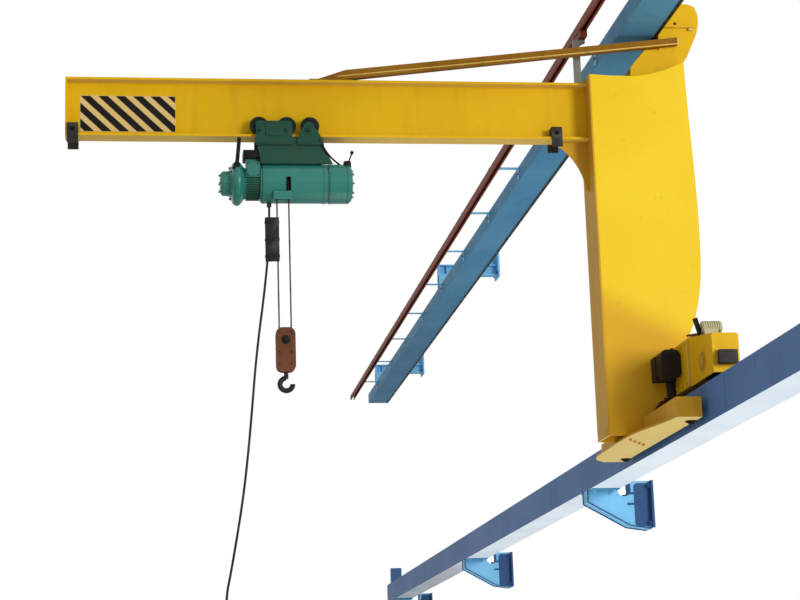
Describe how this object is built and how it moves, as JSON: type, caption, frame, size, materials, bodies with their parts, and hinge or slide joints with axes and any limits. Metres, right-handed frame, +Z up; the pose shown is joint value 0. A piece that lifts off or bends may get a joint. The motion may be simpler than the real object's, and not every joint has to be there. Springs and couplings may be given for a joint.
{
  "type": "wall-mounted jib crane",
  "caption": "Wall-travelling jib crane: a box column on an end carriage runs between two runway beams and carries an I-section jib with a wire-rope hoist, hook block and pendant.",
  "frame": {"origin": "on the back face of the second lower bracket, level with the lower beam's underside", "axes": "+X into the building wall, so the jib points to -X; +Y along the rails; +Z up"},
  "size_m": [4.542, 19.5, 4.89],
  "materials": {
    "beam_blue": "semi-gloss paint",
    "bracket_blue": "semi-gloss paint",
    "crane_yellow": "semi-gloss paint",
    "tie_bar_ochre": "weathered paint",
    "hoist_green": "gloss paint",
    "wheel_dark": "machined treads",
    "rail_steel": "run-in",
    "motor_grey": "matt",
    "motor_silver": "satin",
    "stop_black": "matt",
    "conductor_brown": "satin",
    "wire_rope": "greased",
    "sleeve_black": "matt",
    "cable_black": "matt",
    "station_plastic": "satin",
    "block_brown": "weathered",
    "hook_black": "forged"
  },
  "bodies": {
    "runway": {"lower_runway_beam": "beam_blue", "upper_runway_beam": "beam_blue", "travel_rail": "rail_steel", "runway_stops": "beam_blue", "lower_brackets": "bracket_blue", "upper_brackets": "bracket_blue", "conductor_rail": "conductor_brown", "conductor_hangers": "bracket_blue"},
    "crane": {"column_webs": "crane_yellow", "column_front_flange": "crane_yellow", "column_back_flange": "crane_yellow", "column_end_plates": "crane_yellow", "column_head": "crane_yellow", "upper_guide_roller": "wheel_dark", "jib_beam": "crane_yellow", "jib_root_gusset": "crane_yellow", "jib_stops": "stop_black", "tie_bar": "tie_bar_ochre", "end_carriage": "crane_yellow", "carriage_buffers": "stop_black", "travel_wheels": "wheel_dark", "foot_carriage": "crane_yellow", "lower_guide_rollers": "wheel_dark", "travel_drive": "motor_grey", "brake_unit": "motor_silver", "collector_post": "crane_yellow", "current_collector": "conductor_brown"},
    "trolley": {"trolley_plates": "hoist_green", "trolley_wheels": "wheel_dark", "hanger_frame": "hoist_green", "drum_housing": "hoist_green", "rope_drum": "wheel_dark", "hoist_motor": "hoist_green", "hoist_reducer": "hoist_green", "control_box": "hoist_green", "hoist_rope_guide": "hoist_green", "rope_falls": "wire_rope", "rope_sleeve": "sleeve_black", "pendant_cable": "cable_black", "cable_gland": "stop_black", "pendant_station": "station_plastic"},
    "hook_block": {"hook_block": "block_brown", "block_sheave": "wheel_dark", "rope_bight": "wire_rope"},
    "hook": {"crane_hook": "hook_black"}
  },
  "joints": [
    {"name": "crane_travel", "type": "slide", "parent": "runway", "child": "crane", "axis": [0, 1, 0], "range_m": [-3, 13.92]},
    {"name": "trolley_travel", "type": "slide", "parent": "crane", "child": "trolley", "axis": [1, 0, 0], "range_m": [-1.14, 1.45]},
    {"name": "hoist_lift", "type": "slide", "parent": "trolley", "child": "hook_block", "axis": [0, 0, 1], "range_m": [0, 0.45], "deforming": ["rope_falls"]},
    {"name": "hook_swivel", "type": "hinge", "parent": "hook_block", "child": "hook", "pos_m": [-3.094, -2.5555, 0.5], "axis": [0, 0, 1], "continuous": true}
  ]
}
